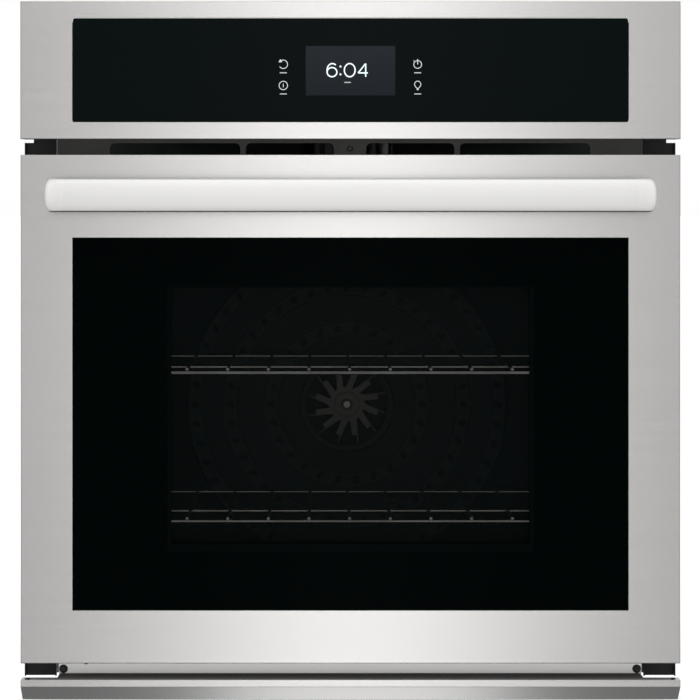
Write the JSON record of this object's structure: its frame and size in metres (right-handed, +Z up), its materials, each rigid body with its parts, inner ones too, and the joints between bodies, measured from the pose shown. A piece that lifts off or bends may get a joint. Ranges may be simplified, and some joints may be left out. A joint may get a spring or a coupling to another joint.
{
  "type": "wall oven",
  "caption": "Built-in electric wall oven: brushed steel front, black glass touch panel, drop-down glass door with a bar handle, convection cavity with wire racks.",
  "frame": {"origin": "centre of the chassis width, on the underside of the base pan (the shelf it stands on), at the cabinet's front face", "axes": "+Z up, the front of the oven faces -Y, +X to the right of someone facing it"},
  "size_m": [0.6858, 0.6868, 0.7293],
  "materials": {
    "brushed_steel": "brushed stainless, grain along the width",
    "chrome_wire": "bright chrome plate",
    "zinc_steel": "zinc-coated sheet steel",
    "black_paint": "satin black paint",
    "enamel": "blue-black porcelain enamel on sheet steel",
    "black_glass": "black back-printed glass",
    "clear_glass": "clear heat-resisting glass",
    "heater": "oxidised heater sheath",
    "wool": "glass-fibre insulation",
    "braid": "woven glass-fibre seal",
    "ceramic": "glazed white steatite",
    "circuit": "green circuit board",
    "black_plastic": "moulded black plastic",
    "screen": "dark colour display"
  },
  "bodies": {
    "chassis": {"control_frame": "brushed_steel", "bottom_trim": "brushed_steel", "lower_strip": "brushed_steel", "base_pan": "zinc_steel", "side_panel_left": "zinc_steel", "side_panel_right": "zinc_steel", "back_panel": "zinc_steel", "top_cover": "zinc_steel", "hinge_receiver_left": "zinc_steel", "hinge_receiver_right": "zinc_steel", "hinge_arm_left": "zinc_steel", "hinge_arm_right": "zinc_steel", "fan_motor": "zinc_steel", "temperature_probe": "zinc_steel", "air_duct": "zinc_steel", "blower_housing": "zinc_steel", "blower_motor": "zinc_steel", "latch_motor": "zinc_steel", "conduit_clamp": "zinc_steel", "side_trim_left": "black_paint", "side_trim_right": "black_paint", "vent_plate": "black_paint", "front_frame": "enamel", "oven_liner": "enamel", "fan_cover": "enamel", "control_glass": "black_glass", "lamp_lens": "clear_glass", "lamp_bulb": "clear_glass", "broil_element": "heater", "bake_element": "heater", "insulation_wrap": "wool", "insulation_back": "wool", "door_gasket": "braid", "lamp_socket": "ceramic", "touch_board": "circuit", "power_board": "circuit", "display_module": "screen"},
    "door": {"door_skin": "brushed_steel", "door_outer_glass": "black_glass", "door_middle_glass": "clear_glass", "door_inner_glass": "clear_glass", "door_liner": "enamel", "door_insulation": "wool", "door_top_cap": "black_plastic", "handle_bar": "brushed_steel", "hinge_channel_left": "zinc_steel", "hinge_channel_right": "zinc_steel", "hinge_spring_left": "zinc_steel", "hinge_spring_right": "zinc_steel"},
    "hinge_rod_left": {"hinge_rod_left": "zinc_steel"},
    "hinge_rod_right": {"hinge_rod_right": "zinc_steel"},
    "hinge_lock_left": {"hinge_lock_left": "zinc_steel"},
    "hinge_lock_right": {"hinge_lock_right": "zinc_steel"},
    "rack_upper": {"rack_upper": "chrome_wire"},
    "rack_lower": {"rack_lower": "chrome_wire"},
    "convection_fan": {"fan_wheel": "zinc_steel", "fan_shaft": "zinc_steel", "fan_nut": "zinc_steel"},
    "cooling_blower": {"blower_wheel": "zinc_steel"},
    "door_latch": {"latch_hook": "zinc_steel"}
  },
  "joints": [
    {"name": "door_hinge", "type": "hinge", "parent": "chassis", "child": "door", "pos_m": [0, -0.037, 0.0307], "axis": [1, 0, 0], "range_deg": [0, 90], "stiffness_Nm_per_rad": 16, "springref_deg": -11.46, "deforming": ["hinge_spring_left", "hinge_spring_right"]},
    {"name": "hinge_rod_left_pull", "type": "slide", "parent": "door", "child": "hinge_rod_left", "axis": [0, 0, -1], "range_m": [0, 0.012]},
    {"name": "hinge_lock_left_flip", "type": "hinge", "parent": "chassis", "child": "hinge_lock_left", "pos_m": [-0.287, -0.026, 0.036], "axis": [1, 0, 0], "range_deg": [0, 110]},
    {"name": "hinge_rod_right_pull", "type": "slide", "parent": "door", "child": "hinge_rod_right", "axis": [0, 0, -1], "range_m": [0, 0.012]},
    {"name": "hinge_lock_right_flip", "type": "hinge", "parent": "chassis", "child": "hinge_lock_right", "pos_m": [0.287, -0.026, 0.036], "axis": [1, 0, 0], "range_deg": [0, 110]},
    {"name": "rack_upper_slide", "type": "slide", "parent": "chassis", "child": "rack_upper", "axis": [0, -1, 0], "range_m": [0, 0.055]},
    {"name": "rack_lower_slide", "type": "slide", "parent": "chassis", "child": "rack_lower", "axis": [0, -1, 0], "range_m": [0, 0.055]},
    {"name": "convection_fan_spin", "type": "hinge", "parent": "chassis", "child": "convection_fan", "pos_m": [0, 0.468, 0.2555], "axis": [0, 1, 0], "continuous": true},
    {"name": "cooling_blower_spin", "type": "hinge", "parent": "chassis", "child": "cooling_blower", "pos_m": [0, 0.33, 0.532], "axis": [0, 0, 1], "continuous": true},
    {"name": "door_latch_swing", "type": "hinge", "parent": "chassis", "child": "door_latch", "pos_m": [0, 0.035, 0.508], "axis": [0, 0, 1], "range_deg": [0, 18]}
  ],
  "couplings": [
    {"joint": "hinge_rod_left_pull", "follows": "door_hinge", "m_per_rad": 0.00763},
    {"joint": "hinge_rod_right_pull", "follows": "door_hinge", "m_per_rad": 0.00763}
  ]
}
